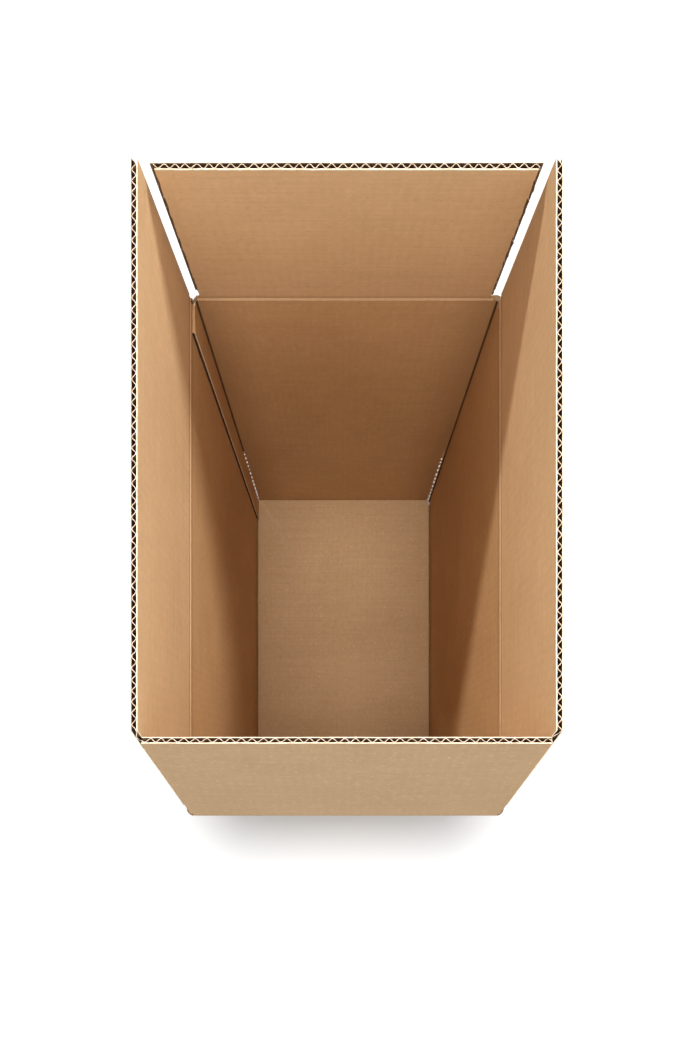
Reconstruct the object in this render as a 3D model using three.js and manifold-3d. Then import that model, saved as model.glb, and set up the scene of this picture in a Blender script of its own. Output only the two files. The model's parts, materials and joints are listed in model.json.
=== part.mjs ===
// An open corrugated shipping box with its four top flaps standing up.
// Millimetres. X runs from left to right, Y from front to back and Z up.
// The origin is on the ground, under the middle of the box.
import * as THREE from 'three';
import * as BufferGeometryUtils from 'three/addons/utils/BufferGeometryUtils.js';
import Module from 'manifold-3d';

const wasm = await Module();
wasm.setup();

// Inside of the box, from wall to wall, and from the pad up to the creases of the end flaps.
const innerWidth = 300;
const innerLength = 500;
const innerDepth = 457;

// Corrugated board: two flat liners with a waved medium between them.
const linerThickness = 0.6;
const mediumThickness = 0.55;
const fluteHeight = 4.3;
const flutePitch = 8.3;
const pointsPerFlute = 6;
const glueLineWidth = 0.9;

// Top flaps, measured from their creases, and how far each leans inwards.
const frontFlapLength = 166;
const backFlapLength = 148;
const sideFlapMeetingGap = 1;
const frontFlapLean = 23.5;
const backFlapLean = 6.5;
const frontFlapSideClearance = 0.8;
const backFlapInset = 5;
const flapEndClearance = 1.2;
const closedFlapGap = 0.5;

// Creases: the board is pressed to a ridge there, so that a flap can turn both ways.
const creaseGap = 0.3;
const inwardTurn = 90;
const outwardTurn = 120;
const crushedHeight = 9;
const slotDepth = 2.5;

// Upright folds at the corners, and the tab that the back wall is glued on with.
const foldRadius = 2;
const foldSteps = 4;
const tabWidth = 32;
const tabThickness = 2.8;
const tabTopDrop = 1.5;
const glueGap = 0.3;
const lapSetback = 3;

// Bottom flaps, folded shut and glued, and the loose pad that lies on them.
const layerGap = 0.3;
const bottomFoldRadius = 3;
const bottomSeamGap = 1;
const innerBottomFlapLength = 150;
const cornerFoot = 9;
const padSideGap = 3.6;
const padEndGap = 0.8;

// Slits that run up the two back corners from the slots between the bottom flaps.
const slitWidth = 2.2;
const slitInset = 3.8;
const slitRise = 165;
const slitSkew = 19;

// What follows from the sizes above.
const boardThickness = fluteHeight + 2 * linerThickness;
const halfBoard = boardThickness / 2;
const innerHalfWidth = innerWidth / 2;
const innerHalfLength = innerLength / 2;
const outerHalfWidth = innerHalfWidth + boardThickness;
const outerHalfLength = innerHalfLength + boardThickness;
const sideCreaseX = innerHalfWidth + halfBoard;
const endCreaseY = innerHalfLength + halfBoard;
const innerBottomLevel = boardThickness + layerGap;
const padLevel = innerBottomLevel + boardThickness + layerGap;
const padTop = padLevel + boardThickness;
const endCreaseZ = padTop + innerDepth;
const creaseStep = boardThickness + closedFlapGap;
const sideCreaseZ = endCreaseZ + creaseStep;
const sideFlapLength = sideCreaseX - sideFlapMeetingGap / 2;
const innerBevel = THREE.MathUtils.degToRad(inwardTurn / 2);
const outerBevel = THREE.MathUtils.degToRad(outwardTurn / 2);
const ridgeGap = creaseGap / 2;
const frontFlapHalfWidth = innerHalfWidth - frontFlapSideClearance;
const backFlapHalfWidth = innerHalfWidth - backFlapInset;
const frontLean = THREE.MathUtils.degToRad(frontFlapLean);
const backLean = THREE.MathUtils.degToRad(backFlapLean);
const frontEndAtCrease = sideFlapEnd(frontLean, 0);
const backEndAtCrease = sideFlapEnd(backLean, 0);
const cutMargin = 5;
const cutSpan = 3 * boardThickness;
const weldDistance = 1e-5;

// Half the length of a side flap towards an end flap of this lean, at a height above the
// side creases: it stays clear of the face that the end flap turns to the inside.
function sideFlapEnd(lean, height) {
  const atEndCrease = endCreaseY - (halfBoard + flapEndClearance) / Math.cos(lean);
  return atEndCrease - (creaseStep + height) * Math.tan(lean);
}

// A closed geometry as a solid that can be joined and cut.
function solidOf(geometry) {
  const bare = geometry.clone();
  bare.deleteAttribute('normal');
  bare.deleteAttribute('uv');
  const merged = BufferGeometryUtils.mergeVertices(bare, weldDistance);
  const mesh = new wasm.Mesh({
    numProp: 3,
    vertProperties: new Float32Array(merged.attributes.position.array),
    triVerts: new Uint32Array(merged.index.array),
  });
  return new wasm.Manifold(mesh);
}

function shapeOf(points) {
  return new THREE.Shape(points.map(([a, b]) => new THREE.Vector2(a, b)));
}

function extruded(shape, length) {
  return new THREE.ExtrudeGeometry(shape, {
    depth: length,
    bevelEnabled: false,
    curveSegments: foldSteps,
  });
}

// A plan outline, in X and Y, raised from one height to another.
function raised(shape, from, to) {
  return extruded(shape, to - from).translate(0, 0, from);
}

// A profile in Y and Z, drawn out along X from one place to another.
function drawnOut(shape, from, to) {
  const turn = new THREE.Matrix4().makeBasis(
    new THREE.Vector3(0, 1, 0),
    new THREE.Vector3(0, 0, 1),
    new THREE.Vector3(1, 0, 0),
  );
  return extruded(shape, to - from).applyMatrix4(turn).translate(from, 0, 0);
}

function block(width, depth, height, x, y, z) {
  return new THREE.BoxGeometry(width, depth, height).translate(x, y, z);
}

// Quarter turns about Z that bring what is drawn at the front to another side.
const sideTurns = { front: [1, 0], right: [0, 1], back: [-1, 0], left: [0, -1] };

function turnedTo(side, geometry) {
  const [c, s] = sideTurns[side];
  const turn = new THREE.Matrix4().makeBasis(
    new THREE.Vector3(c, s, 0),
    new THREE.Vector3(-s, c, 0),
    new THREE.Vector3(0, 0, 1),
  );
  return geometry.applyMatrix4(turn);
}

// One hollow of the board in section: the space between a liner and the waved medium.
// Side is 1 for the hollows under one liner and -1 for those under the other.
function fluteHollow(centre, side) {
  const crest = (fluteHeight - mediumThickness) / 2;
  const halfSpan = (flutePitch - glueLineWidth) / 2;
  const points = [];
  for (let i = 0; i < pointsPerFlute; i += 1) {
    const along = halfSpan * (2 * i / (pointsPerFlute - 1) - 1);
    const wave = -crest * Math.cos(Math.PI * along / halfSpan);
    const isEnd = i === 0 || i === pointsPerFlute - 1;
    const height = isEnd ? fluteHeight / 2 : wave + mediumThickness / 2;
    points.push([centre + side * along, side * height]);
  }
  return shapeOf(points);
}

// All the flute hollows of a board from one edge to another, from one height to another.
function fluteHollows(edgeFrom, edgeTo, from, to) {
  const room = edgeTo - edgeFrom - 2 * glueLineWidth;
  const count = Math.floor(2 * room / flutePitch) - 1;
  const firstCentre = (edgeFrom + edgeTo) / 2 - (count - 1) * flutePitch / 4;
  const hollows = [];
  for (let i = 0; i < count; i += 1) {
    const hollow = fluteHollow(firstCentre + i * flutePitch / 2, i % 2 ? 1 : -1);
    hollows.push(raised(hollow, from, to));
  }
  return solidOf(BufferGeometryUtils.mergeGeometries(hollows));
}

// A flap in its own frame: its crease lies along X through the origin, the flap stands up
// from it and its outside faces -Y. Its ends are given at the crease and at the free edge.
function flapSolid(length, left, right) {
  const widestLeft = Math.min(left.atCrease, left.atRim);
  const widestRight = Math.max(right.atCrease, right.atRim);
  const plain = solidOf(drawnOut(shapeOf([
    [0, ridgeGap],
    [halfBoard, ridgeGap + halfBoard * Math.tan(innerBevel)],
    [halfBoard, length],
    [-halfBoard, length],
    [-halfBoard, ridgeGap + halfBoard * Math.tan(outerBevel)],
  ]), widestLeft, widestRight));
  const rimMargin = length + cutMargin;
  const board = plain.subtract(fluteHollows(widestLeft, widestRight, crushedHeight, rimMargin));
  if (left.atCrease === left.atRim && right.atCrease === right.atRim) {
    return board;
  }
  const outline = shapeOf([
    [left.atCrease, 0],
    [right.atCrease, 0],
    [right.atRim, length],
    [left.atRim, length],
  ]);
  const keep = extruded(outline, cutSpan).rotateX(Math.PI / 2);
  return board.intersect(solidOf(keep.translate(0, cutSpan / 2, 0)));
}

function squareFlap(length, halfWidth) {
  const left = { atCrease: -halfWidth, atRim: -halfWidth };
  const right = { atCrease: halfWidth, atRim: halfWidth };
  return flapSolid(length, left, right);
}

// A side flap, whose two ends are cut back to clear the leaning end flaps.
function sideFlap(frontIsRight) {
  const front = { atCrease: frontEndAtCrease, atRim: sideFlapEnd(frontLean, sideFlapLength) };
  const back = { atCrease: backEndAtCrease, atRim: sideFlapEnd(backLean, sideFlapLength) };
  const right = frontIsRight ? front : back;
  const other = frontIsRight ? back : front;
  const left = { atCrease: -other.atCrease, atRim: -other.atRim };
  return flapSolid(sideFlapLength, left, right);
}

// The plan of the four walls as one folded strip. It starts at the free end of the left
// wall and ends at the glue tab, which lies inside the left wall at the back.
function wallStrip() {
  const outerRadius = foldRadius + boardThickness;
  const right = outerHalfWidth - outerRadius;
  const ends = outerHalfLength - outerRadius;
  const tabOuterX = -innerHalfWidth + glueGap;
  const tabInnerX = tabOuterX + tabThickness;
  const tabEndY = innerHalfLength - tabWidth;
  const lapEndY = outerHalfLength - lapSetback;
  const quarter = Math.PI / 2;
  const strip = new THREE.Shape();
  strip.moveTo(-outerHalfWidth, lapEndY);
  strip.lineTo(-outerHalfWidth, -ends);
  strip.absarc(-right, -ends, outerRadius, 2 * quarter, 3 * quarter);
  strip.absarc(right, -ends, outerRadius, -quarter, 0);
  strip.absarc(right, ends, outerRadius, 0, quarter);
  strip.absarc(tabOuterX + outerRadius, ends, outerRadius, quarter, 2 * quarter);
  strip.lineTo(tabOuterX, tabEndY);
  strip.lineTo(tabInnerX, tabEndY);
  strip.absarc(tabInnerX + foldRadius, ends, foldRadius, 2 * quarter, quarter, true);
  strip.absarc(right, ends, foldRadius, quarter, 0, true);
  strip.absarc(right, -ends, foldRadius, 0, -quarter, true);
  strip.absarc(-right, -ends, foldRadius, -quarter, -2 * quarter, true);
  strip.lineTo(-innerHalfWidth, lapEndY);
  strip.closePath();
  return strip;
}

// A bottom flap with the foot of its wall, drawn at the front.
function bottomFlap(halfSpan, level, reach, halfWidth) {
  const outerY = -halfSpan - boardThickness;
  const profile = new THREE.Shape();
  const centreY = outerY + bottomFoldRadius;
  const centreZ = level + bottomFoldRadius;
  profile.absarc(centreY, centreZ, bottomFoldRadius, Math.PI, 1.5 * Math.PI);
  profile.lineTo(-halfSpan + reach, level);
  profile.lineTo(-halfSpan + reach, level + boardThickness);
  profile.lineTo(-halfSpan, level + boardThickness);
  profile.lineTo(-halfSpan, cornerFoot + boardThickness);
  profile.lineTo(outerY, cornerFoot + boardThickness);
  profile.closePath();
  return drawnOut(profile, -halfWidth, halfWidth);
}

// What is cut off over a wall, so that it ends in a ridge along its crease.
function creaseCut(creaseDistance, creaseZ, halfWidth) {
  const reach = boardThickness;
  const tip = creaseZ - ridgeGap;
  const top = sideCreaseZ + cutMargin;
  return drawnOut(shapeOf([
    [-creaseDistance, tip],
    [-creaseDistance + reach, tip - reach * Math.tan(innerBevel)],
    [-creaseDistance + reach, top],
    [-creaseDistance - reach, top],
    [-creaseDistance - reach, tip - reach * Math.tan(outerBevel)],
  ]), -halfWidth, halfWidth);
}

// The slot beside a crease, down to a little below it, at one corner.
function cornerSlot(sideX, sideY, fromX, fromY) {
  const bottom = endCreaseZ - slotDepth;
  const height = sideCreaseZ + cutMargin - bottom;
  const width = outerHalfWidth + cutMargin - fromX;
  const depth = outerHalfLength + cutMargin - fromY;
  const x = sideX * (fromX + width / 2);
  const y = sideY * (fromY + depth / 2);
  return block(width, depth, height, x, y, bottom + height / 2);
}

// One slit beside a back corner, skewed outwards as it goes through the wall.
function cornerSlit(sideX) {
  const top = padTop + slitRise;
  const slit = block(slitWidth, cutSpan, top, 0, 0, top / 2);
  slit.rotateZ(-sideX * THREE.MathUtils.degToRad(slitSkew));
  return slit.translate(sideX * (innerHalfWidth - slitInset), innerHalfLength, 0);
}

function bodySolid() {
  let body = solidOf(raised(wallStrip(), cornerFoot, sideCreaseZ));
  const seamReach = innerHalfWidth - bottomSeamGap / 2;
  const folds = [
    ['left', bottomFlap(innerHalfWidth, 0, seamReach, frontEndAtCrease)],
    ['right', bottomFlap(innerHalfWidth, 0, seamReach, frontEndAtCrease)],
    ['front', bottomFlap(innerHalfLength, innerBottomLevel, innerBottomFlapLength, frontFlapHalfWidth)],
    ['back', bottomFlap(innerHalfLength, innerBottomLevel, innerBottomFlapLength, backFlapHalfWidth)],
  ];
  for (const [side, fold] of folds) {
    body = body.add(solidOf(turnedTo(side, fold)));
  }
  const cuts = [
    turnedTo('left', creaseCut(sideCreaseX, sideCreaseZ, outerHalfLength)),
    turnedTo('right', creaseCut(sideCreaseX, sideCreaseZ, outerHalfLength)),
    turnedTo('front', creaseCut(endCreaseY, endCreaseZ, frontFlapHalfWidth)),
    turnedTo('back', creaseCut(endCreaseY, endCreaseZ, backFlapHalfWidth)),
    cornerSlot(-1, -1, frontFlapHalfWidth, frontEndAtCrease),
    cornerSlot(1, -1, frontFlapHalfWidth, frontEndAtCrease),
    cornerSlot(-1, 1, backFlapHalfWidth, backEndAtCrease),
    cornerSlot(1, 1, backFlapHalfWidth, backEndAtCrease),
    cornerSlit(-1),
    cornerSlit(1),
  ];
  for (const cut of cuts) {
    body = body.subtract(solidOf(cut));
  }
  return body.subtract(solidOf(tabTopCut()));
}

// What is cut off over the glue tab, so that its top stays below the closed flaps.
function tabTopCut() {
  const inset = glueGap + tabThickness;
  const bottom = endCreaseZ - tabTopDrop;
  const height = sideCreaseZ + cutMargin - bottom;
  const depth = tabWidth + cutMargin;
  const x = -innerHalfWidth + (inset + foldRadius) / 2;
  const y = innerHalfLength - depth / 2;
  return block(inset + foldRadius, depth, height, x, y, bottom + height / 2);
}

// The loose pad, with its flutes running from front to back.
function padSolid() {
  const halfWidth = innerHalfWidth - padSideGap;
  const halfLength = innerHalfLength - padEndGap;
  const middle = padLevel + halfBoard;
  const plain = block(2 * halfWidth, 2 * halfLength, boardThickness, 0, 0, 0);
  const reach = halfLength + cutMargin;
  const hollows = fluteHollows(-halfWidth, halfWidth, -reach, reach);
  const pad = solidOf(plain).subtract(hollows.rotate([90, 0, 0]));
  return pad.translate([0, 0, middle]);
}

// Kraft paper, a little lighter or darker from piece to piece.
const kraft = {
  body: 0xa8805a,
  pad: 0xa08060,
  front: 0xc4a27a,
  back: 0xb98e64,
  left: 0xd0a573,
  right: 0xc49c6a,
};
const kraftRoughness = 0.92;

function meshOf(name, solid, color) {
  const { vertProperties, triVerts } = solid.getMesh();
  const geometry = new THREE.BufferGeometry();
  geometry.setAttribute('position', new THREE.BufferAttribute(vertProperties, 3));
  geometry.setIndex(new THREE.BufferAttribute(triVerts, 1));
  const material = new THREE.MeshStandardMaterial({
    color,
    roughness: kraftRoughness,
    metalness: 0,
    flatShading: true,
  });
  const mesh = new THREE.Mesh(geometry, material);
  mesh.name = name;
  return mesh;
}

const group = new THREE.Group();
group.add(meshOf('carton_body', bodySolid(), kraft.body));
group.add(meshOf('bottom_pad', padSolid(), kraft.pad));

// Each flap stands in a group on its crease, turned to its side, and leans about it.
function placeFlap(name, side, distance, height, lean, solid) {
  const [c, s] = sideTurns[side];
  const crease = new THREE.Group();
  crease.position.set(s * distance, -c * distance, height);
  crease.rotation.z = Math.atan2(s, c);
  const flap = meshOf(name, solid, kraft[side]);
  flap.rotation.x = -lean;
  crease.add(flap);
  group.add(crease);
}

const frontFlap = squareFlap(frontFlapLength, frontFlapHalfWidth);
const backFlap = squareFlap(backFlapLength, backFlapHalfWidth);
placeFlap('front_flap', 'front', endCreaseY, endCreaseZ, frontLean, frontFlap);
placeFlap('back_flap', 'back', endCreaseY, endCreaseZ, backLean, backFlap);
placeFlap('left_flap', 'left', sideCreaseX, sideCreaseZ, 0, sideFlap(true));
placeFlap('right_flap', 'right', sideCreaseX, sideCreaseZ, 0, sideFlap(false));

export default group;
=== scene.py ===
import json
import math
import random

import bmesh
import bpy
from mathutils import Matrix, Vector


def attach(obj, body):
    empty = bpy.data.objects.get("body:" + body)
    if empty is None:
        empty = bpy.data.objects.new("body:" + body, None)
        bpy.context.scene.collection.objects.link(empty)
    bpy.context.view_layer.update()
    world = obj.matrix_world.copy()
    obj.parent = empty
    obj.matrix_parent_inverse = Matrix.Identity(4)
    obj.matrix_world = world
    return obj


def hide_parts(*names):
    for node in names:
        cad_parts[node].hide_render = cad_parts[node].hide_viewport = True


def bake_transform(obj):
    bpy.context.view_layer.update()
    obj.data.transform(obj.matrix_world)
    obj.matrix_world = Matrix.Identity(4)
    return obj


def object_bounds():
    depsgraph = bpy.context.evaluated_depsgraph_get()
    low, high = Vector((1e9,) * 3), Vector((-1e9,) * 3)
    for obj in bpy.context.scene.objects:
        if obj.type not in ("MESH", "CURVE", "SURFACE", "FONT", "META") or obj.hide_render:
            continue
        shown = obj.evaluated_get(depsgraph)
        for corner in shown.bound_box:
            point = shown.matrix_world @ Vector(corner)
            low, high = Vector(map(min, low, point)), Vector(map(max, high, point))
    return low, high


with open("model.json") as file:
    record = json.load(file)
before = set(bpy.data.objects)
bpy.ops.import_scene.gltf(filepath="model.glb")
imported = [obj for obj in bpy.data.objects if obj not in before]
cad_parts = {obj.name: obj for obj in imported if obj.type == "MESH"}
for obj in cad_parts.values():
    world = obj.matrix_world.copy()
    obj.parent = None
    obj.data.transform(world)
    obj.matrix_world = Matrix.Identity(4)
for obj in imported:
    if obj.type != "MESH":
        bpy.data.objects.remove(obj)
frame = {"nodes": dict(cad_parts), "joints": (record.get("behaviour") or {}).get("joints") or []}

cadBounds = [list(corner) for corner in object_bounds()]
upAxis = Vector((0, 0, 1))
creaseJoints = {joint["child"]: joint for joint in frame["joints"]}
flutePitch = 0.0083      # from one wave of the medium to the next
axisX = 0
axisY = 1
axisZ = 2


# Helpers for node trees

def addNode(tree, kind, **settings):
    node = tree.nodes.new(kind)
    for name, value in settings.items():
        setattr(node, name, value)
    return node


def feed(tree, socket, value):
    if isinstance(value, (int, float, tuple)):
        socket.default_value = value
    else:
        tree.links.new(value, socket)


def newGroup(name, inputs, outputs):
    group = bpy.data.node_groups.new(name, "ShaderNodeTree")
    for label, kind, value in inputs:
        socket = group.interface.new_socket(name=label, in_out="INPUT", socket_type=kind)
        if value is not None:
            socket.default_value = value
    for label, kind in outputs:
        group.interface.new_socket(name=label, in_out="OUTPUT", socket_type=kind)
    entry = addNode(group, "NodeGroupInput")
    leave = addNode(group, "NodeGroupOutput")
    return group, entry.outputs, leave.inputs


def maths(tree, operation, first, second=None):
    node = addNode(tree, "ShaderNodeMath", operation=operation)
    feed(tree, node.inputs[0], first)
    if second is not None:
        feed(tree, node.inputs[1], second)
    return node.outputs[0]


def noise(tree, vector, scale, detail=4.0, roughness=0.6, distortion=0.0):
    node = addNode(tree, "ShaderNodeTexNoise")
    feed(tree, node.inputs["Vector"], vector)
    node.inputs["Scale"].default_value = scale
    node.inputs["Detail"].default_value = detail
    node.inputs["Roughness"].default_value = roughness
    node.inputs["Distortion"].default_value = distortion
    return node.outputs["Fac"]


def stretched(tree, vector, scale):
    node = addNode(tree, "ShaderNodeMapping")
    feed(tree, node.inputs["Vector"], vector)
    node.inputs["Scale"].default_value = scale
    return node.outputs["Vector"]


def mapped(tree, value, low, high, newLow, newHigh):
    node = addNode(tree, "ShaderNodeMapRange")
    feed(tree, node.inputs["Value"], value)
    node.inputs["From Min"].default_value = low
    node.inputs["From Max"].default_value = high
    node.inputs["To Min"].default_value = newLow
    node.inputs["To Max"].default_value = newHigh
    return node.outputs["Result"]


def mixed(tree, factor, first, second):
    node = addNode(tree, "ShaderNodeMix", data_type="RGBA")
    feed(tree, node.inputs[0], factor)
    feed(tree, node.inputs[6], first)
    feed(tree, node.inputs[7], second)
    return node.outputs[2]


def scaledColor(tree, color, factor):
    node = addNode(tree, "ShaderNodeVectorMath", operation="SCALE")
    feed(tree, node.inputs[0], color)
    feed(tree, node.inputs["Scale"], factor)
    return node.outputs[0]


# Effects shared by the materials

paperGrain = {
    "cloud": (9.0, 3.0, 0.55),          # noise scale, detail and roughness
    "pulp": (150.0, 5.0, 0.7),
    "grain": (1100.0, 2.0, 0.6),
    "fibre": (1.0, 3.0, 0.65, 0.5),     # and distortion
    "fibreStretch": (260, 260, 900),
    "streak": (1.0, 3.0, 0.6),
    "streakAlong": 420.0,
    "streakAcross": 7.0,
    "paleFibre": (0.80, 0.60, 0.38, 1),
    "darkFibre": (0.27, 0.15, 0.07, 1),
    "ridgeHeight": 0.22,
    "grainHeight": 0.35,
    "fibreHeight": 0.5,
}


def linerGroup():
    # Kraft liner: clouded pulp, short pale and dark fibres, fine streaks that run along the
    # machine direction, and the waves of the medium showing through.
    group, taken, given = newGroup(
        "kraftLiner",
        [("Vector", "NodeSocketVector", None), ("Across", "NodeSocketFloat", 0.0),
         ("Along", "NodeSocketFloat", 0.0), ("Washboard", "NodeSocketFloat", 1.0),
         ("Light Tone", "NodeSocketColor", (0.62, 0.40, 0.21, 1)),
         ("Dark Tone", "NodeSocketColor", (0.46, 0.28, 0.13, 1))],
        [("Color", "NodeSocketColor"), ("Roughness", "NodeSocketFloat"),
         ("Height", "NodeSocketFloat")],
    )
    where = taken["Vector"]
    cloud = noise(group, where, *paperGrain["cloud"])
    pulp = noise(group, where, *paperGrain["pulp"])
    grain = noise(group, where, *paperGrain["grain"])
    fibre = noise(group, stretched(group, where, paperGrain["fibreStretch"]), *paperGrain["fibre"])
    tone = maths(group, "ADD", mapped(group, cloud, 0.3, 0.7, 0.05, 0.5),
                 mapped(group, pulp, 0.3, 0.7, 0.0, 0.45))
    color = mixed(group, tone, taken["Dark Tone"], taken["Light Tone"])
    color = mixed(group, mapped(group, fibre, 0.60, 0.72, 0.0, 0.5), color, paperGrain["paleFibre"])
    color = mixed(group, mapped(group, fibre, 0.38, 0.28, 0.0, 0.4), color, paperGrain["darkFibre"])
    phase = maths(group, "MULTIPLY", taken["Across"], 2 * math.pi / flutePitch)
    ridge = maths(group, "MULTIPLY", maths(group, "SINE", phase), taken["Washboard"])
    streakPlace = addNode(group, "ShaderNodeCombineXYZ")
    along = maths(group, "MULTIPLY", taken["Along"], paperGrain["streakAlong"])
    across = maths(group, "MULTIPLY", taken["Across"], paperGrain["streakAcross"])
    feed(group, streakPlace.inputs[0], along)
    feed(group, streakPlace.inputs[1], across)
    streak = noise(group, streakPlace.outputs[0], *paperGrain["streak"])
    shade = maths(group, "ADD", mapped(group, ridge, -1.0, 1.0, 0.99, 1.01),
                  mapped(group, streak, 0.3, 0.7, -0.045, 0.045))
    feed(group, given["Color"], scaledColor(group, color, shade))
    feed(group, given["Roughness"], mapped(group, pulp, 0.2, 0.8, 0.82, 0.97))
    height = maths(group, "ADD", maths(group, "MULTIPLY", ridge, paperGrain["ridgeHeight"]),
                   maths(group, "MULTIPLY", grain, paperGrain["grainHeight"]))
    height = maths(group, "ADD", height, maths(group, "MULTIPLY", fibre, paperGrain["fibreHeight"]))
    feed(group, given["Height"], height)
    return group


tornGrain = {
    "coarse": (320.0, 4.0, 0.7),        # noise scale, detail and roughness
    "thread": (1.0, 3.0, 0.7, 1.0),     # and distortion
    "threadStretch": (900, 900, 300),
}


def tornGroup():
    # Cut edge of the board: pale torn fibre with loose dark threads.
    group, taken, given = newGroup(
        "tornEdge",
        [("Vector", "NodeSocketVector", None),
         ("Light Tone", "NodeSocketColor", (0.92, 0.78, 0.58, 1)),
         ("Dark Tone", "NodeSocketColor", (0.60, 0.42, 0.25, 1))],
        [("Color", "NodeSocketColor"), ("Roughness", "NodeSocketFloat"),
         ("Height", "NodeSocketFloat")],
    )
    where = taken["Vector"]
    coarse = noise(group, where, *tornGrain["coarse"])
    thread = noise(group, stretched(group, where, tornGrain["threadStretch"]), *tornGrain["thread"])
    amount = maths(group, "ADD", mapped(group, coarse, 0.35, 0.65, 0.0, 0.7),
                   mapped(group, thread, 0.3, 0.7, -0.2, 0.4))
    feed(group, given["Color"], mixed(group, amount, taken["Dark Tone"], taken["Light Tone"]))
    feed(group, given["Roughness"], mapped(group, coarse, 0.2, 0.8, 0.9, 1.0))
    feed(group, given["Height"], maths(group, "ADD", coarse, thread))
    return group


linerEffect = linerGroup()
tornEffect = tornGroup()


# Materials

surface = {
    "specular": 0.25,
    "paperBump": (0.35, 0.00035),       # strength, and height in metres
    "tornBump": (0.6, 0.0003),
}


def newMaterial(name, bumpStrength, bumpDistance):
    material = bpy.data.materials.new(name)
    material.use_nodes = True
    tree = material.node_tree
    tree.nodes.clear()
    shader = addNode(tree, "ShaderNodeBsdfPrincipled")
    shader.inputs["Specular IOR Level"].default_value = surface["specular"]
    result = addNode(tree, "ShaderNodeOutputMaterial")
    tree.links.new(shader.outputs[0], result.inputs["Surface"])
    bump = addNode(tree, "ShaderNodeBump")
    bump.inputs["Strength"].default_value = bumpStrength
    bump.inputs["Distance"].default_value = bumpDistance
    tree.links.new(bump.outputs[0], shader.inputs["Normal"])
    return material, tree, shader, bump


def place(tree):
    spot = addNode(tree, "ShaderNodeTexCoord").outputs["Object"]
    parts = addNode(tree, "ShaderNodeSeparateXYZ")
    tree.links.new(spot, parts.inputs[0])
    return spot, parts.outputs


def grouped(tree, effect, **values):
    node = addNode(tree, "ShaderNodeGroup")
    node.node_tree = effect
    for label, value in values.items():
        feed(tree, node.inputs[label.replace("_", " ")], value)
    return node.outputs


def linerMaterial(name, acrossAxis, alongAxis, paper, washboard=1.0, marks=None):
    # The waves lie side by side along one axis and run along the other.
    material, tree, shader, bump = newMaterial(name, *surface["paperBump"])
    spot, axes = place(tree)
    liner = grouped(tree, linerEffect, Vector=spot, Across=axes[acrossAxis], Along=axes[alongAxis],
                    Washboard=washboard, Light_Tone=paper["light"], Dark_Tone=paper["dark"])
    color = liner["Color"]
    if marks:
        color = marks(tree, spot, axes, color)
    feed(tree, shader.inputs["Base Color"], color)
    feed(tree, shader.inputs["Roughness"], liner["Roughness"])
    feed(tree, bump.inputs["Height"], liner["Height"])
    return material


def tornMaterial(name, paper):
    material, tree, shader, bump = newMaterial(name, *surface["tornBump"])
    spot = place(tree)[0]
    torn = grouped(tree, tornEffect, Vector=spot, Light_Tone=paper["light"],
                   Dark_Tone=paper["dark"])
    feed(tree, shader.inputs["Base Color"], torn["Color"])
    feed(tree, shader.inputs["Roughness"], torn["Roughness"])
    feed(tree, bump.inputs["Height"], torn["Height"])
    return material


scratch = {
    "top": (0.0544, 0.595),    # Y and Z of its upper end
    "slant": -0.06,            # how Y changes with Z
    "length": 0.075,
    "width": 0.0005,
    "waver": 0.0005,
    "waverNoise": (40.0, 2.0), # scale and detail
    "startFade": 0.01,
    "endFade": 0.02,
    "strength": 0.55,
    "tone": (0.80, 0.60, 0.39, 1),
}


def scratchMarks(tree, spot, axes, color):
    # One long faint scratch down the middle of the flap.
    topY, topZ = scratch["top"]
    below = maths(tree, "SUBTRACT", topZ, axes[2])
    line = maths(tree, "ADD", maths(tree, "MULTIPLY", below, -scratch["slant"]), topY)
    waver = mapped(tree, noise(tree, spot, *scratch["waverNoise"]), 0.3, 0.7,
                   -scratch["waver"], scratch["waver"])
    off = maths(tree, "ABSOLUTE", maths(tree, "SUBTRACT", maths(tree, "ADD", axes[1], waver), line))
    near = mapped(tree, off, 0.0, scratch["width"], 1.0, 0.0)
    started = mapped(tree, below, 0.0, scratch["startFade"], 0.0, 1.0)
    fadeFrom = scratch["length"] - scratch["endFade"]
    ended = mapped(tree, below, fadeFrom, scratch["length"], 1.0, 0.0)
    amount = maths(tree, "MULTIPLY", maths(tree, "MULTIPLY", near, started), ended)
    amount = maths(tree, "MULTIPLY", amount, scratch["strength"])
    return mixed(tree, amount, color, scratch["tone"])


papers = {
    "inside": {"light": (0.725, 0.482, 0.266, 1), "dark": (0.595, 0.380, 0.194, 1)},
    # the walls' inner faces: a darker copy of the inside liner, painted shade for the deep walls
    "wall": {"light": (0.600, 0.368, 0.176, 1), "dark": (0.480, 0.275, 0.122, 1)},
    "outside": {"light": (0.450, 0.302, 0.172, 1), "dark": (0.365, 0.236, 0.128, 1)},
    "pad": {"light": (0.620, 0.418, 0.232, 1), "dark": (0.520, 0.332, 0.175, 1)},
    # a painted highlight along the inner creases
    "worn": {"light": (0.80, 0.60, 0.39, 1), "dark": (0.62, 0.42, 0.24, 1)},
    # painted shade in the side flaps' creases
    "pressed": {"light": (0.34, 0.20, 0.10, 1), "dark": (0.20, 0.11, 0.05, 1)},
    # the waved medium, darkened far below kraft: painted shade in the flute hollows
    "medium": {"light": (0.17, 0.095, 0.05, 1), "dark": (0.09, 0.05, 0.022, 1)},
    "cutLiner": {"light": (0.96, 0.86, 0.69, 1), "dark": (0.70, 0.52, 0.33, 1)},
    "cutMedium": {"light": (0.86, 0.70, 0.55, 1), "dark": (0.48, 0.32, 0.21, 1)},
    # a dark bead beside the glue tab: painted shadow in the gap between tab and wall
    "glue": {"light": (0.13, 0.075, 0.04, 1), "dark": (0.05, 0.026, 0.012, 1)},
}
padWashboard = 0.6       # the waves show less through the pad
noWashboard = 0.0
endLiner = linerMaterial("endLiner", axisX, axisZ, papers["inside"])
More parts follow.
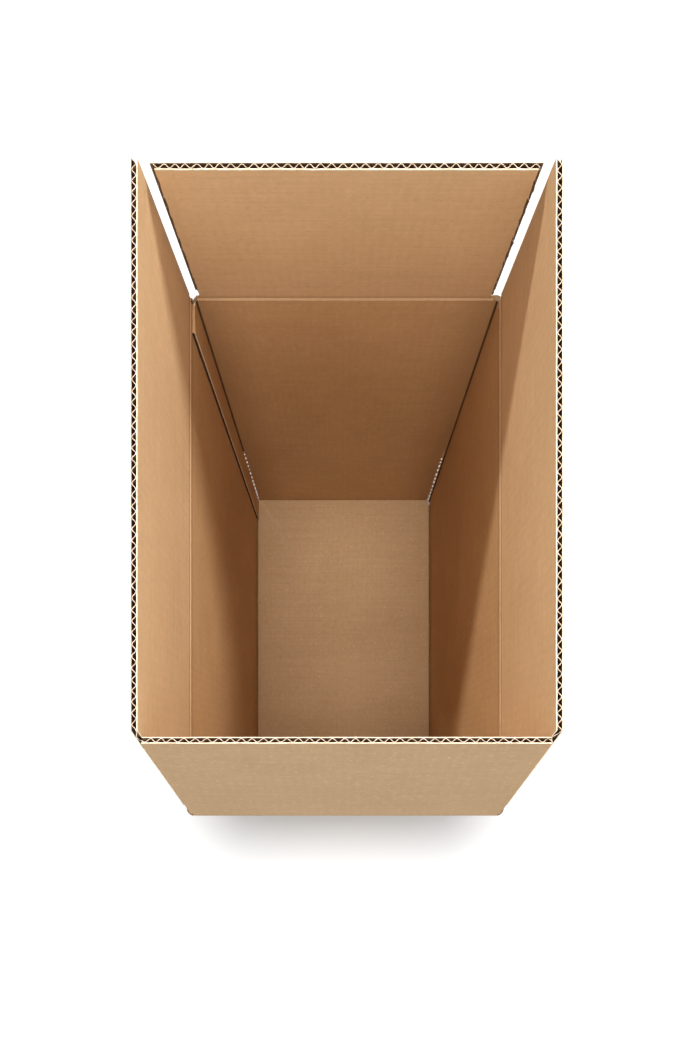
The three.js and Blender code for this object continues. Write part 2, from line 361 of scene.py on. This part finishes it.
sideLiner = linerMaterial("sideLiner", axisY, axisZ, papers["inside"])
scratchedLiner = linerMaterial("scratchedLiner", axisY, axisZ, papers["inside"], marks=scratchMarks)
outerEndLiner = linerMaterial("outerEndLiner", axisX, axisZ, papers["outside"])
outerSideLiner = linerMaterial("outerSideLiner", axisY, axisZ, papers["outside"])
padLiner = linerMaterial("padLiner", axisX, axisY, papers["pad"], padWashboard)
# Painted highlight line for the creases.
wornLiner = linerMaterial("wornLiner", axisX, axisZ, papers["worn"], noWashboard)
# Painted shade line for the side flaps' creases.
pressedLiner = linerMaterial("pressedLiner", axisX, axisZ, papers["pressed"], noWashboard)
# Painted shade for the flute hollows.
mediumPaper = linerMaterial("mediumPaper", axisX, axisZ, papers["medium"], noWashboard)
cutEdge = tornMaterial("cutEdge", papers["cutLiner"])
cutMedium = tornMaterial("cutMedium", papers["cutMedium"])
# Painted shadow line beside the glue tab.
glueBead = tornMaterial("glueBead", papers["glue"])


# Flap geometry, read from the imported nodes

def flapFrame(body):
    # The crease line, the way up the leaning flap and the way out of its outer face.
    joint = creaseJoints[body]
    along = Vector(joint["axis"])
    outward = along.cross(upAxis)
    lean = math.radians(90 + joint["range_deg"][0])
    up = upAxis * math.cos(lean) - outward * math.sin(lean)
    out = outward * math.cos(lean) + upAxis * math.sin(lean)
    return {"body": body, "origin": Vector(joint["pos_m"]), "along": along, "up": up, "out": out}


def flapExtent(flap, node):
    # How far the flap reaches up from its crease, and its two ends below and above.
    footZone = 0.0003
    rimZone = 0.0001
    spots = []
    for vertex in frame["nodes"][node].data.vertices:
        away = vertex.co - flap["origin"]
        spots.append((away.dot(flap["up"]), away.dot(flap["along"])))
    length = max(up for up, across in spots)
    foot = [across for up, across in spots if up < footZone]
    rim = [across for up, across in spots if up > length - rimZone]
    flap["length"] = length
    flap["foot"] = (min(foot), max(foot))
    flap["rim"] = (min(rim), max(rim))
    return flap


# Closed sheets, drawn as a grid of front faces and back faces

def addSheet(mesh, columns, rows, spotOf, slots):
    # spotOf(column, row, face) gives a point; face is 0 for the inside and 1 for the outside.
    # slots holds material numbers: for the two sides, the long rims, the ends and, as bands,
    # for single rows of the inside, counted back from the last row.
    grid = [[[mesh.verts.new(spotOf(column, row, face)) for row in range(rows)]
             for column in range(columns)] for face in (0, 1)]

    def addFace(corners, slot):
        face = mesh.faces.new(corners)
        face.material_index = slot

    for column in range(columns - 1):
        for row in range(rows - 1):
            for side in (0, 1):
                sheet = grid[side]
                corners = [sheet[column][row], sheet[column + 1][row],
                           sheet[column + 1][row + 1], sheet[column][row + 1]]
                slot = slots["sides"][side]
                if side == 0:
                    slot = slots.get("bands", {}).get(row - rows, slot)
                addFace(corners if side else corners[::-1], slot)
        for row, turned in ((0, False), (rows - 1, True)):
            corners = [grid[0][column][row], grid[0][column + 1][row],
                       grid[1][column + 1][row], grid[1][column][row]]
            addFace(corners[::-1] if turned else corners, slots["rim"])
    for row in range(rows - 1):
        for column, turned in ((0, True), (columns - 1, False)):
            corners = [grid[0][column][row], grid[0][column][row + 1],
                       grid[1][column][row + 1], grid[1][column][row]]
            addFace(corners if turned else corners[::-1], slots["end"])


def finishObject(name, mesh, materials, smoothAngle=0.6):
    bmesh.ops.recalc_face_normals(mesh, faces=mesh.faces[:])
    data = bpy.data.meshes.new(name)
    mesh.to_mesh(data)
    mesh.free()
    for material in materials:
        data.materials.append(material)
    piece = bpy.data.objects.new(name, data)
    bpy.context.scene.collection.objects.link(piece)
    data.shade_smooth()
    data.set_sharp_from_angle(angle=smoothAngle)
    return piece


# Flaps: two liners with the waved medium between them, open at the rim and at the cut ends

flapBoard = {
    "half": 0.00272,           # from the middle of the board to each face
    "liner": 0.0008,
    "foot": 0.0042,            # where the sheets start, above the crease
    "outerFoot": 0.0056,       # the outer liner clears the wall as the flap hangs down
    "fromRim": [0.0, 0.0009, 0.0022, 0.005, 0.011, 0.022, 0.05, 0.1],
    "columnStep": 0.004,
    "wearReach": 0.014,
    "rimWear": 0.00012,
    "rimCurl": 0.0001,
    "curlStep": 0.011,
    "frayRows": 0.0035,
    "frayStep": 0.004,
    "frayShare": 0.85,         # of the flap's fray, for the inner liner
    "frayWaver": 0.1,
    "straight": 0.0002,        # an end that slants less than this is left square
}

fluting = {
    "thickness": 0.00055,
    "stepsPerFlute": 12,
    "clearance": 0.00003,      # between a crest and its liner
    "inset": 0.0002,           # back from the liners' ends
    "drop": 0.0003,            # below the liners' rims
    "dropWaver": 0.00025,
    "dropStep": 0.005,
    "lag": 0.0009,             # how far a worn wave leans along the rim
    "lagStep": 0.013,
    "squash": 0.1,
    "squashStep": 0.017,
    "rimLoss": 0.0001,
    "frayShare": 0.4,
    "frayWaver": 0.35,
}


def wearLine(seed, size, step=0.006):
    # A smooth random line along the rim, sampled at any distance.
    chance = random.Random(seed)
    values = [chance.uniform(-size, size) for unused in range(200)]

    def at(distance):
        spot = distance / step
        index = int(math.floor(spot))
        part = spot - index
        part = part * part * (3 - 2 * part)
        first = values[index % len(values)]
        second = values[(index + 1) % len(values)]
        return first * (1 - part) + second * part

    return at


def rimFade(flap, up):
    left = max(0.0, 1 - (flap["length"] - up) / flapBoard["wearReach"])
    return left * left


def flapRows(flap):
    # Heights above the crease, close together at the worn rim and all down a frayed flap.
    rows = [flap["length"] - reach for reach in flapBoard["fromRim"]]
    rows.append(flapBoard["foot"])
    if flap["fray"]:
        lower = flap["length"] - flapBoard["wearReach"]
        count = int(lower / flapBoard["frayRows"])
        span = lower - flapBoard["foot"]
        rows = [row for row in rows if row > lower]
        rows += [flapBoard["foot"] + span * i / count for i in range(count + 1)]
    return sorted(row for row in rows if row >= flapBoard["foot"])


def addLiner(mesh, flap, side, seed, slots):
    # side is -1 for the liner that faces inwards and 1 for the outer one.
    rows = flapRows(flap)
    if side > 0:
        rows[0] = flapBoard["outerFoot"]
    low = min(flap["foot"][0], flap["rim"][0])
    high = max(flap["foot"][1], flap["rim"][1])
    columns = max(2, int((high - low) / flapBoard["columnStep"]))
    drop = wearLine(seed, flapBoard["rimWear"])
    curl = wearLine(seed + 1, flapBoard["rimCurl"], flapBoard["curlStep"])
    fray = wearLine(seed + 2, flap["fray"] * flapBoard["frayWaver"], flapBoard["frayStep"])

    def spotOf(column, row, face):
        up = rows[row]
        back = flap["fray"] * flapBoard["frayShare"] + fray(up) if side < 0 else 0
        across = low + back + (high - low - 2 * back) * column / (columns - 1)
        fade = rimFade(flap, up)
        up -= fade * (flapBoard["rimWear"] + drop(across))
        depth = side * flapBoard["half"]
        if (face == 1) != (side == 1):
            depth -= side * flapBoard["liner"]
        depth -= side * fade * (flapBoard["rimCurl"] + curl(across))
        return flap["origin"] + flap["along"] * across + flap["up"] * up + flap["out"] * depth

    addSheet(mesh, columns, len(rows), spotOf, slots)


def addMedium(mesh, flap, seed, slots):
    rows = flapRows(flap)
    low = min(flap["foot"][0], flap["rim"][0]) + fluting["inset"]
    high = max(flap["foot"][1], flap["rim"][1]) - fluting["inset"]
    columns = int((high - low) / flutePitch * fluting["stepsPerFlute"])
    crest = flapBoard["half"] - flapBoard["liner"] - fluting["thickness"] / 2 - fluting["clearance"]
    drop = wearLine(seed, fluting["dropWaver"], fluting["dropStep"])
    lag = wearLine(seed + 1, fluting["lag"], fluting["lagStep"])
    squash = wearLine(seed + 2, fluting["squash"], fluting["squashStep"])
    fray = wearLine(seed + 3, flap["fray"] * fluting["frayWaver"], flapBoard["frayStep"])

    def spotOf(column, row, face):
        up = rows[row]
        back = flap["fray"] * fluting["frayShare"] + fray(up)
        across = low + back + (high - low - 2 * back) * column / (columns - 1)
        fade = rimFade(flap, up)
        phase = 2 * math.pi * (across + fade * lag(across)) / flutePitch
        height = (crest - fade * fluting["rimLoss"]) * (1 - fade * abs(squash(across)))
        depth = height * math.sin(phase)
        slope = height * 2 * math.pi / flutePitch * math.cos(phase)
        stretch = math.hypot(1, slope)
        thick = fluting["thickness"] / 2 * (1 if face else -1)
        across -= thick * slope / stretch
        depth += thick / stretch
        up -= fade * (fluting["drop"] + drop(across))
        return flap["origin"] + flap["along"] * across + flap["up"] * up + flap["out"] * depth

    addSheet(mesh, columns, len(rows), spotOf, slots)


cutSlot = 2              # where the cut edge stands among a flap's materials


def cutEnds(mesh, flap):
    # The ends of the side flaps slant, so the square sheets are cut back to them.
    for end, outwards in ((0, -1), (1, 1)):
        foot = flap["origin"] + flap["along"] * flap["foot"][end]
        rim = flap["origin"] + flap["along"] * flap["rim"][end] + flap["up"] * flap["length"]
        if abs(flap["foot"][end] - flap["rim"][end]) < flapBoard["straight"]:
            continue
        slant = (rim - foot).normalized()
        normal = slant.cross(flap["out"]).normalized()
        if normal.dot(flap["along"]) * outwards < 0:
            normal = -normal
        found = mesh.verts[:] + mesh.edges[:] + mesh.faces[:]
        bmesh.ops.bisect_plane(mesh, geom=found, plane_co=foot, plane_no=normal, clear_outer=True)
        openEdges = [edge for edge in mesh.edges if edge.is_boundary]
        before = set(mesh.faces)
        bmesh.ops.holes_fill(mesh, edges=openEdges, sides=0)
        for face in set(mesh.faces) - before:
            face.material_index = cutSlot


def buildFlap(body, node, seed, paper, fray=0.0):
    # fray is how far the inner liner is torn back from the two cut ends.
    flap = flapExtent(flapFrame(body), node)
    flap["fray"] = fray
    mesh = bmesh.new()
    inner = {"sides": (0, 1), "rim": cutSlot, "end": cutSlot, "bands": {-2: cutSlot}}
    addLiner(mesh, flap, -1, seed, inner)
    addLiner(mesh, flap, 1, seed + 10, {"sides": (1, 4), "rim": cutSlot, "end": cutSlot})
    addMedium(mesh, flap, seed + 20, {"sides": (1, 1), "rim": 3, "end": 3})
    cutEnds(mesh, flap)
    outer = outerEndLiner if body in ("front", "back") else outerSideLiner
    # The medium and the liners' faces towards it take the dark medium paper: painted shade in the flute
    # hollows.
    materials = [paper, mediumPaper, cutEdge, cutMedium, outer]
    piece = finishObject(node + ".board", mesh, materials)
    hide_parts(node)
    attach(piece, body)
    return flap


flaps = {
    "front": buildFlap("front", "front_flap", 100, endLiner),
    "back": buildFlap("back", "back_flap", 200, endLiner, 0.0045),
    "left": buildFlap("left", "left_flap", 300, sideLiner),
    "right": buildFlap("right", "right_flap", 400, scratchedLiner),
}
print("flaps built")


# Creases: scored paper strips from each wall, over the crease, to its flap

crease = {
    "thickness": 0.0005,
    "innerSpan": 0.0046,
    "outerSpan": 0.0060,
    "innerDip": 0.0009,
    "outerDip": 0.0004,
    "dipWidth": 0.35,          # as a share of the span
    "outerInset": 0.002,
    "rows": 9,
    "columnStep": 0.01,
    "waver": 0.0001,
    "waverStep": 0.02,
    "blendReach": 0.007,       # how far the bend spreads to each side of the crease
    "smoothAngle": 1.2,
    "endBands": {-6: 2},       # the painted highlight line on the end flaps
    "sideBands": {-7: 2, -6: 3},   # a painted highlight line and a painted shade line on the side flaps
}


def buildCrease(flap, side, paper):
    # A strip from the wall, over the crease, to the flap. side is -1 inside, 1 outside.
    wallOut = flap["along"].cross(upAxis)
    span = crease["innerSpan"] if side < 0 else crease["outerSpan"]
    dip = crease["innerDip"] if side < 0 else crease["outerDip"]
    low, high = flap["foot"]
    if side > 0:
        low, high = low + crease["outerInset"], high - crease["outerInset"]
    columns = int((high - low) / crease["columnStep"])
    rows = crease["rows"]
    seed = int(span * 1e6) + len(flap["body"])
    bend = wearLine(seed, crease["waver"], crease["waverStep"])

    def spotOf(column, row, face):
        across = low + (high - low) * column / (columns - 1)
        reach = span * (2 * row / (rows - 1) - 1)
        deep = dip * math.exp(-(reach / (crease["dipWidth"] * span)) ** 2)
        depth = side * (flapBoard["half"] - deep)
        if (face == 1) != (side == 1):
            depth -= side * crease["thickness"]
        if reach < 0:
            spot = flap["origin"] + upAxis * reach + wallOut * depth
        else:
            spot = flap["origin"] + flap["up"] * reach + flap["out"] * depth
        return spot + flap["along"] * across + upAxis * bend(across)

    slots = {"sides": (0, 0), "rim": 0, "end": 1}
    if side < 0:
        slots["bands"] = crease["sideBands"] if flap["body"] in ("left", "right") else crease["endBands"]
    mesh = bmesh.new()
    addSheet(mesh, columns, rows, spotOf, slots)
    name = flap["body"] + ("_flap.innerCrease" if side < 0 else "_flap.outerCrease")
    materials = [paper, cutEdge, wornLiner, pressedLiner]
    piece = finishObject(name, mesh, materials, crease["smoothAngle"])
    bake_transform(piece)


for body, flap in flaps.items():
    facesEnd = body in ("front", "back")
    buildCrease(flap, -1, endLiner if facesEnd else sideLiner)
    buildCrease(flap, 1, outerEndLiner if facesEnd else outerSideLiner)
print("creases built")


# Walls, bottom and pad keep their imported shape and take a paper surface

wallMarks = {
    "outerX": (0.1535, 0.1540),         # inside and outside of this, from the middle of the box
    "outerY": (0.2535, 0.2540),
    "outerCorner": (0.4005, 0.4015),    # X and Y added up
    "sideNormal": 0.7,
    # painted shade along the upright folds inside the box
    "fold": (0.3978, 0.3985),           # X and Y added up
    "foldStrength": 0.93,
    "foldTone": (0.055, 0.028, 0.012, 1),
    "tabShift": 0.0031,                 # the fold lies nearer where the tab covers it
    "middleZone": 0.001,
    "endFace": (0.2490, 0.2495),
    # painted shade on the end walls, deepening towards the corners
    "rubbed": (0.095, 0.148),
    "rubbedStrength": 0.45,
    "rubbedTone": (0.36, 0.20, 0.09, 1),
    # painted shade at the foot of the corner slots
    "slotFoot": 0.4716,
    "slotBand": (0.0003, 0.0005),
    "bareTone": (0.16, 0.09, 0.045, 1),
    "smoothAngle": math.radians(35),
}


def wallMaterial():
    # Waves run up the walls, so they lie side by side along X on the end walls and along Y
    # on the side walls, which are told apart by their normal.
    material, tree, shader, bump = newMaterial("wallLiner", *surface["paperBump"])
    spot, axes = place(tree)
    facing = addNode(tree, "ShaderNodeSeparateXYZ")
    feed(tree, facing.inputs[0], addNode(tree, "ShaderNodeTexCoord").outputs["Normal"])
    sideways = maths(tree, "GREATER_THAN", maths(tree, "ABSOLUTE", facing.outputs[axisX]),
                     wallMarks["sideNormal"])
    across = addNode(tree, "ShaderNodeMix", data_type="FLOAT")
    feed(tree, across.inputs[0], sideways)
    feed(tree, across.inputs[2], axes[axisX])
    feed(tree, across.inputs[3], axes[axisY])
    farX = maths(tree, "ABSOLUTE", axes[axisX])
    farY = maths(tree, "ABSOLUTE", axes[axisY])
    reach = maths(tree, "ADD", farX, farY)
    outside = maths(tree, "MAXIMUM", mapped(tree, farX, *wallMarks["outerX"], 0.0, 1.0),
                    mapped(tree, farY, *wallMarks["outerY"], 0.0, 1.0))
    outside = maths(tree, "MAXIMUM", outside,
                    mapped(tree, reach, *wallMarks["outerCorner"], 0.0, 1.0))
    # The inner faces take the darker wall copy of the liner, painted shade for the deep walls.
    inner = papers["wall"]
    outer = papers["outside"]
    liner = grouped(tree, linerEffect, Vector=spot, Across=across.outputs[0], Along=axes[axisZ],
                    Light_Tone=mixed(tree, outside, inner["light"], outer["light"]),
                    Dark_Tone=mixed(tree, outside, inner["dark"], outer["dark"]))
    # The upright folds get painted shade on the inside, and the end walls get painted shade that deepens
    # towards them.
    within = maths(tree, "SUBTRACT", 1.0, outside)
    behind = mapped(tree, axes[axisY], 0.0, wallMarks["middleZone"], 0.0, 1.0)
    onLeft = mapped(tree, axes[axisX], -wallMarks["middleZone"], 0.0, 1.0, 0.0)
    overTab = maths(tree, "MULTIPLY", onLeft, behind)
    shifted = maths(tree, "ADD", reach, maths(tree, "MULTIPLY", overTab, wallMarks["tabShift"]))
    fold = mapped(tree, shifted, *wallMarks["fold"], 0.0, wallMarks["foldStrength"])
    fold = maths(tree, "MULTIPLY", fold, within)
    onEnd = maths(tree, "MULTIPLY", mapped(tree, farY, *wallMarks["endFace"], 0.0, 1.0), within)
    rubbed = mapped(tree, farX, *wallMarks["rubbed"], 0.0, wallMarks["rubbedStrength"])
    rubbed = maths(tree, "MULTIPLY", rubbed, onEnd)
    color = mixed(tree, rubbed, liner["Color"], wallMarks["rubbedTone"])
    color = mixed(tree, fold, color, wallMarks["foldTone"])
    # Painted shade at the foot of the corner slots, darkening the cut edges there.
    level = maths(tree, "ABSOLUTE", maths(tree, "SUBTRACT", axes[axisZ], wallMarks["slotFoot"]))
    bare = mapped(tree, level, *wallMarks["slotBand"], 1.0, 0.0)
    color = mixed(tree, bare, color, wallMarks["bareTone"])
    feed(tree, shader.inputs["Base Color"], color)
    feed(tree, shader.inputs["Roughness"], liner["Roughness"])
    feed(tree, bump.inputs["Height"], liner["Height"])
    return material


def dressNode(name, material):
    node = frame["nodes"][name]
    node.data.materials.clear()
    node.data.materials.append(material)
    node.data.shade_smooth()
    node.data.set_sharp_from_angle(angle=wallMarks["smoothAngle"])


dressNode("carton_body", wallMaterial())
dressNode("bottom_pad", padLiner)
print("walls and pad dressed")


# Slits beside the back corners: torn paper still bridges them in places

slit = {
    "x": 0.1462,
    "y": 0.25,
    "skew": math.radians(19),
    "halfWidth": 0.0014,
    "from": 0.019,
    "to": 0.181,
    "period": 0.0125,
    "periodSpread": (0.85, 1.15),
    "share": 0.28,             # how much of a period the paper fills at the foot
    "shareGrowth": 0.42,       # and how much more at the top
    "heightSpread": (0.8, 1.2),
    "jag": 0.0007,
    "depth": 0.0004,
    "thickness": 0.0005,
    "seed": 700,
}


def buildSlitPaper(sideX):
    chance = random.Random(slit["seed"] + sideX)
    acrossWay = Vector((math.cos(slit["skew"]), -sideX * math.sin(slit["skew"]), 0))
    inWay = Vector((sideX * math.sin(slit["skew"]), math.cos(slit["skew"]), 0))
    centre = Vector((sideX * slit["x"], slit["y"], 0))
    mesh = bmesh.new()
    z = slit["to"]
    while z > slit["from"]:
        part = (z - slit["from"]) / (slit["to"] - slit["from"])
        height = slit["period"] * (slit["share"] + slit["shareGrowth"] * part)
        height *= chance.uniform(*slit["heightSpread"])
        jag = slit["jag"]
        jags = [[chance.uniform(-jag, jag) for column in range(4)] for row in range(2)]
        level = z

        def spotOf(column, row, face):
            across = slit["halfWidth"] * (2 * column / 3 - 1)
            up = level - height * (1 - row) + jags[row][column]
            deep = slit["depth"] + slit["thickness"] * face
            return centre + acrossWay * across + inWay * deep + upAxis * up

        addSheet(mesh, 4, 2, spotOf, {"sides": (0, 0), "rim": 1, "end": 1})
        z -= slit["period"] * chance.uniform(*slit["periodSpread"])
    name = "carton_body.rightSlitPaper" if sideX > 0 else "carton_body.leftSlitPaper"
    piece = finishObject(name, mesh, [endLiner, cutEdge])
    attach(piece, "carton")


for sideX in (-1, 1):
    buildSlitPaper(sideX)


# Glue tab: its pale cut edge, and a dark bead along it that is a painted shadow line where the tab
# stands off the wall

tab = {
    "x": -0.1469,
    "wallX": -0.15,
    "y": 0.218,
    "bottom": 0.0175,
    "top": 0.4722,
    "edge": 0.00035,
    "liner": 0.0008,
    "bead": 0.0013,
    "step": 0.006,
    "clearance": 0.0001,
    "wallGap": 0.0004,
    "edgeWaver": 0.00012,
    "edgeStep": 0.009,
    "bulge": 0.0003,
    "bulgeStep": 0.013,
    "beadRise": 0.0006,
    "beadFoot": 0.0002,        # how deep the bead sits in the wall
    "smoothAngle": 1.2,
    "seed": 810,
}


def buildTabEdge():
    rows = int((tab["top"] - tab["bottom"]) / tab["step"])
    wave = wearLine(tab["seed"], tab["edgeWaver"], tab["edgeStep"])
    bulge = wearLine(tab["seed"] + 1, tab["bulge"], tab["bulgeStep"])

    def heightOf(row):
        return tab["bottom"] + (tab["top"] - tab["bottom"]) * row / (rows - 1)

    def edgeSpot(column, row, face):
        z = heightOf(row)
        inner = tab["x"] - tab["liner"] - tab["clearance"]
        x = tab["wallX"] + tab["wallGap"] + (inner - tab["wallX"] - tab["wallGap"]) * column / 3
        return Vector((x, tab["y"] - (0 if face else tab["edge"] + wave(z)), z))

    def beadSpot(column, row, face):
        z = heightOf(row)
        y = tab["y"] - tab["edge"] - (tab["bead"] + bulge(z)) * (1 - column / 3)
        rise = tab["beadRise"] * math.sin(math.pi * (column + 0.5) / 4) if face else -tab["beadFoot"]
        return Vector((tab["wallX"] + rise, y, z))

    def linerSpot(column, row, face):
        z = heightOf(row)
        x = tab["x"] - tab["liner"] * (1 - column)
        front = tab["y"] - tab["edge"] - wave(z)
        return Vector((x, tab["y"] if face else front - tab["clearance"], z))

    mesh = bmesh.new()
    addSheet(mesh, 4, rows, edgeSpot, {"sides": (1, 1), "rim": 1, "end": 1})
    addSheet(mesh, 2, rows, linerSpot, {"sides": (0, 0), "rim": 0, "end": 0})
    addSheet(mesh, 4, rows, beadSpot, {"sides": (1, 1), "rim": 1, "end": 1})
    piece = finishObject("carton_body.tabEdge", mesh, [cutEdge, glueBead], tab["smoothAngle"])
    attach(piece, "carton")


buildTabEdge()
print("slit paper and tab edge built")


# Lights, floor and camera

def aim(piece, towards):
    piece.rotation_euler = Vector(towards).to_track_quat("-Z", "Y").to_euler()


def sunLight(name, towards, strength, angle, color):
    light = bpy.data.lights.new(name, "SUN")
    light.energy = strength
    light.angle = math.radians(angle)
    light.color = color
    piece = bpy.data.objects.new(name, light)
    bpy.context.scene.collection.objects.link(piece)
    aim(piece, towards)
    return piece


def areaLight(name, spot, target, size, power):
    light = bpy.data.lights.new(name, "AREA")
    light.shape = "DISK"
    light.size = size
    light.energy = power
    piece = bpy.data.objects.new(name, light)
    bpy.context.scene.collection.objects.link(piece)
    piece.location = spot
    aim(piece, Vector(target) - Vector(spot))
    return piece


boxLights = [
    sunLight("keySun", (0.69, -1.0, -0.914), 2.2, 6.0, (1.0, 0.98, 0.95)),
    areaLight("rightSoft", (1.3, 1.4, 2.1), (-0.1, 0, 0.45), 0.7, 46.0),
    areaLight("frontHigh", (0.0, -1.3, 2.7), (0, 0, 0.3), 1.0, 16.0),
    areaLight("frontFill", (0.1, -2.2, 1.3), (0, -0.2, 0.4), 1.4, 21.0),
]
areaLight("overhead", (0.0, -0.1, 2.9), (0, 0, 0), 1.3, 36.0)
areaLight("rightLow", (2.2, -0.4, 1.5), (0, -0.1, 0.5), 2.4, 16.0)
areaLight("leftLow", (-2.2, -0.4, 1.5), (0, -0.1, 0.5), 2.4, 10.0)


def keepOff(light, piece):
    # The lights aimed at the box leave the floor alone, so that only soft light from above and
    # from the sides throws a shadow on it.
    group = bpy.data.collections.new(light.name + ".spared")
    group.objects.link(piece)
    group.collection_objects[0].light_linking.link_state = "EXCLUDE"
    light.light_linking.receiver_collection = group


backdrop = {
    "skyLight": 0.20,
    "skySeen": 1.0,
    "floorColor": (0.8, 0.8, 0.8, 1),
    "floorRoughness": 0.9,
    "floorHalf": 6,
    "nearGlow": (0.05, 0.13, 0.02, 0.45),   # from and to, away from the walls, and the glow there
    "farGlow": (0.13, 1.3, 0.0, 0.55),
}


def worldBackdrop():
    world = bpy.data.worlds.new("backdrop")
    bpy.context.scene.world = world
    world.use_nodes = True
    tree = world.node_tree
    tree.nodes.clear()
    sky = addNode(tree, "ShaderNodeBackground")
    path = addNode(tree, "ShaderNodeLightPath")
    strength = mapped(tree, path.outputs["Is Camera Ray"], 0, 1,
                      backdrop["skyLight"], backdrop["skySeen"])
    feed(tree, sky.inputs["Strength"], strength)
    result = addNode(tree, "ShaderNodeOutputWorld")
    tree.links.new(sky.outputs[0], result.inputs["Surface"])
    sky.inputs["Color"].default_value = (1, 1, 1, 1)


def floorMaterial():
    # White paper sweep. Close to the box it is only lit, so that it keeps the shadow; further
    # out it glows to the camera, so that it runs into the white backdrop.
    material = bpy.data.materials.new("whiteFloor")
    material.use_nodes = True
    tree = material.node_tree
    tree.nodes.clear()
    shader = addNode(tree, "ShaderNodeBsdfPrincipled")
    shader.inputs["Base Color"].default_value = backdrop["floorColor"]
    shader.inputs["Roughness"].default_value = backdrop["floorRoughness"]
    shader.inputs["Emission Color"].default_value = (1, 1, 1, 1)
    path = addNode(tree, "ShaderNodeLightPath")
    seen = maths(tree, "MAXIMUM", path.outputs["Is Camera Ray"], path.outputs["Is Glossy Ray"])
    seen = maths(tree, "MAXIMUM", seen, path.outputs["Is Transmission Ray"])
    # How far a point lies from the walls of the box.
    away = addNode(tree, "ShaderNodeTexCoord").outputs["Object"]
    walls = (cadBounds[1][axisX], cadBounds[1][axisY], 0)
    for operation, other in (("ABSOLUTE", (0, 0, 0)), ("SUBTRACT", walls), ("MAXIMUM", (0, 0, 0))):
        step = addNode(tree, "ShaderNodeVectorMath", operation=operation)
        feed(tree, step.inputs[0], away)
        feed(tree, step.inputs[1], other)
        away = step.outputs[0]
    length = addNode(tree, "ShaderNodeVectorMath", operation="LENGTH")
    feed(tree, length.inputs[0], away)
    distance = length.outputs["Value"]
    glow = maths(tree, "ADD", mapped(tree, distance, *backdrop["nearGlow"]),
                 mapped(tree, distance, *backdrop["farGlow"]))
    feed(tree, shader.inputs["Emission Strength"], maths(tree, "MULTIPLY", seen, glow))
    result = addNode(tree, "ShaderNodeOutputMaterial")
    tree.links.new(shader.outputs[0], result.inputs["Surface"])
    return material


worldBackdrop()
floorMesh = bmesh.new()
bmesh.ops.create_grid(floorMesh, x_segments=8, y_segments=8, size=backdrop["floorHalf"])
floor = finishObject("floor", floorMesh, [floorMaterial()])
for light in boxLights:
    keepOff(light, floor)

photoView = {
    "place": (-0.004, -0.2017, 1.0681),
    "turn": (0, 0, 0),         # straight down
    "lens": 21.046,
    "sensorWidth": 36,
    "shift": (0.0056, 0.2317),
}
camera = bpy.data.objects.new("camera", bpy.data.cameras.new("camera"))
bpy.context.scene.collection.objects.link(camera)
camera.location = photoView["place"]
camera.rotation_euler = photoView["turn"]
camera.data.lens = photoView["lens"]
camera.data.sensor_width = photoView["sensorWidth"]
camera.data.shift_x, camera.data.shift_y = photoView["shift"]
bpy.context.scene.camera = camera
bpy.context.scene.view_settings.view_transform = "Standard"
print("lights, floor and camera set")
